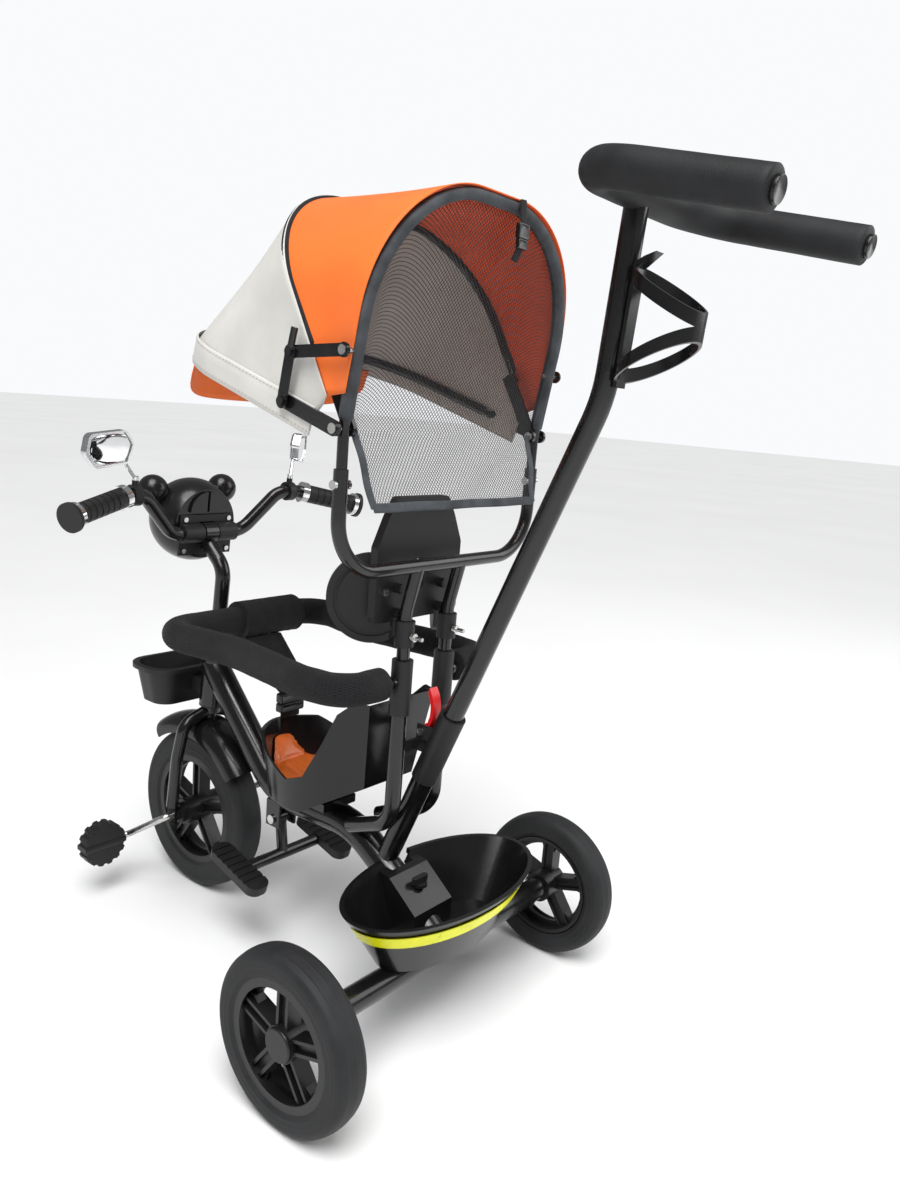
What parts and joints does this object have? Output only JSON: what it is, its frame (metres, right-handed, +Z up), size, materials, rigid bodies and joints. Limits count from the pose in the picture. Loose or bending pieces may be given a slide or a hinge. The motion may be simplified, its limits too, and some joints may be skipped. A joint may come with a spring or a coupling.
{
  "type": "children's tricycle",
  "caption": "Child's tricycle with a parent push pole and handle, folding sun canopy, padded guard hoop, bucket seat, steered front wheel with pedals, front tray and rear basket.",
  "frame": {"origin": "centre of the bounding box at ground level", "axes": "+Z up, front of the tricycle towards -Y, the rider's left towards +X"},
  "size_m": [0.5366, 0.9708, 1.0142],
  "materials": {
    "frame_black": "gloss black paint",
    "tyre": "matte foam rubber",
    "plastic_black": "fine-grained moulded plastic",
    "gloss_black": "smooth moulded plastic",
    "chrome": "polished",
    "zinc": "bright zinc plate",
    "foam": "closed-cell foam sleeve",
    "webbing": "woven",
    "canopy_orange": "coated woven polyester",
    "canopy_white": "coated woven polyester",
    "canopy_mesh": "open net",
    "seat_orange": "smooth padded cover",
    "lever_red": "glossy",
    "band_yellow": "glossy",
    "mirror_glass": "silvered"
  },
  "bodies": {
    "frame": {"main_frame": "frame_black", "head_bushes": "plastic_black", "seat_posts": "frame_black", "post_sleeves": "plastic_black", "canopy_frame": "frame_black", "rear_bow": "frame_black", "frame_bolts": "zinc", "mesh_curtain": "canopy_mesh", "seat_shell": "plastic_black", "seat_cushion": "seat_orange", "backrest": "plastic_black", "rear_basket": "plastic_black", "basket_band": "band_yellow", "basket_knob": "plastic_black", "pole_sleeve": "plastic_black", "rear_axle": "zinc", "front_tray": "plastic_black", "strap_socket": "plastic_black"},
    "steering": {"fork": "frame_black", "front_fender": "gloss_black", "stem": "frame_black", "handlebar": "frame_black", "grips": "plastic_black", "grip_rings": "chrome", "mirror_clamps": "plastic_black", "console_housing": "gloss_black", "console_plate": "plastic_black", "console_screws": "zinc", "lamp_balls": "gloss_black"},
    "front_wheel": {"front_rim": "plastic_black", "front_tyre": "tyre", "crank_rod": "zinc"},
    "left_pedal": {"pedal_left": "plastic_black"},
    "right_pedal": {"pedal_right": "plastic_black"},
    "left_wheel": {"rear_rim_left": "plastic_black", "rear_tyre_left": "tyre"},
    "right_wheel": {"rear_rim_right": "plastic_black", "rear_tyre_right": "tyre"},
    "left_mirror": {"mirror_left": "mirror_glass"},
    "right_mirror": {"mirror_right": "mirror_glass"},
    "left_button": {"console_button_left": "gloss_black"},
    "right_button": {"console_button_right": "gloss_black"},
    "guard": {"guard_hoop": "frame_black", "guard_foam": "foam", "guard_wrap": "webbing", "guard_strap": "webbing"},
    "footrest": {"footrest_bar": "frame_black", "foot_pads": "plastic_black"},
    "pole": {"push_pole": "frame_black", "push_foam": "foam", "bottle_cage": "plastic_black"},
    "lever": {"quick_release_lever": "lever_red"},
    "front_canopy": {"front_bow": "frame_black", "canopy_front_panel": "canopy_white", "canopy_brim": "canopy_orange"},
    "mid_canopy": {"mid_bow": "frame_black", "canopy_rear_panel": "canopy_orange"},
    "rear_stays": {"stay_rear_links": "frame_black"},
    "front_stays": {"stay_front_links": "frame_black"}
  },
  "joints": [
    {"name": "steer_turn", "type": "hinge", "parent": "frame", "child": "steering", "pos_m": [0, -0.36711, 0.125], "axis": [0, 0.0924, 0.9957], "range_deg": [-28, 28]},
    {"name": "front_wheel_spin", "type": "hinge", "parent": "steering", "child": "front_wheel", "pos_m": [0, -0.36711, 0.125], "axis": [1, 0, 0], "continuous": true},
    {"name": "left_pedal_spin", "type": "hinge", "parent": "front_wheel", "child": "left_pedal", "pos_m": [0.133, -0.43343, 0.08027], "axis": [1, 0, 0], "continuous": true},
    {"name": "right_pedal_spin", "type": "hinge", "parent": "front_wheel", "child": "right_pedal", "pos_m": [-0.133, -0.30079, 0.16973], "axis": [1, 0, 0], "continuous": true},
    {"name": "left_wheel_spin", "type": "hinge", "parent": "frame", "child": "left_wheel", "pos_m": [0.2478, 0.12459, 0.102], "axis": [1, 0, 0], "continuous": true},
    {"name": "right_wheel_spin", "type": "hinge", "parent": "frame", "child": "right_wheel", "pos_m": [-0.2478, 0.12459, 0.102], "axis": [1, 0, 0], "continuous": true},
    {"name": "left_mirror_turn", "type": "hinge", "parent": "steering", "child": "left_mirror", "pos_m": [0.136, -0.34982, 0.64161], "axis": [0, 0.0924, 0.9957], "range_deg": [-30, 30]},
    {"name": "right_mirror_turn", "type": "hinge", "parent": "steering", "child": "right_mirror", "pos_m": [-0.136, -0.34982, 0.64161], "axis": [0, 0.0924, 0.9957], "range_deg": [-30, 30]},
    {"name": "left_button_press", "type": "slide", "parent": "steering", "child": "left_button", "axis": [0, -0.9957, 0.0924], "range_m": [0, 0.0015], "stiffness_N_per_m": 600},
    {"name": "right_button_press", "type": "slide", "parent": "steering", "child": "right_button", "axis": [0, -0.9957, 0.0924], "range_m": [0, 0.0015], "stiffness_N_per_m": 600},
    {"name": "guard_lift", "type": "hinge", "parent": "frame", "child": "guard", "pos_m": [0, 0.06359, 0.445], "axis": [-1, 0, 0], "range_deg": [0, 50]},
    {"name": "footrest_fold", "type": "hinge", "parent": "frame", "child": "footrest", "pos_m": [0, -0.18341, 0.172], "axis": [1, 0, 0], "range_deg": [0, 70]},
    {"name": "pole_height", "type": "slide", "parent": "frame", "child": "pole", "axis": [0, 0.3811, 0.9245], "range_m": [0, 0.06]},
    {"name": "lever_open", "type": "hinge", "parent": "frame", "child": "lever", "pos_m": [0, 0.07759, 0.379], "axis": [1, 0, 0], "range_deg": [0, 25]},
    {"name": "canopy_fold", "type": "hinge", "parent": "frame", "child": "front_canopy", "pos_m": [0, 0.07759, 0.741], "axis": [-1, 0, 0], "range_deg": [0, 55]},
    {"name": "mid_bow_fold", "type": "hinge", "parent": "frame", "child": "mid_canopy", "pos_m": [0, 0.07759, 0.741], "axis": [-1, 0, 0], "range_deg": [0, 55]},
    {"name": "rear_stay_turn", "type": "hinge", "parent": "frame", "child": "rear_stays", "pos_m": [0, 0.09006, 0.818], "axis": [-1, 0, 0], "range_deg": [-1, 60]},
    {"name": "front_stay_turn", "type": "hinge", "parent": "front_canopy", "child": "front_stays", "pos_m": [0, 0.00491, 0.76322], "axis": [-1, 0, 0], "range_deg": [-110, 1]}
  ],
  "couplings": [
    {"joint": "mid_bow_fold", "follows": "canopy_fold", "ratio": 0.5},
    {"joint": "rear_stay_turn", "follows": "canopy_fold", "ratio": 0.599},
    {"joint": "front_stay_turn", "follows": "canopy_fold", "ratio": -1.83}
  ]
}
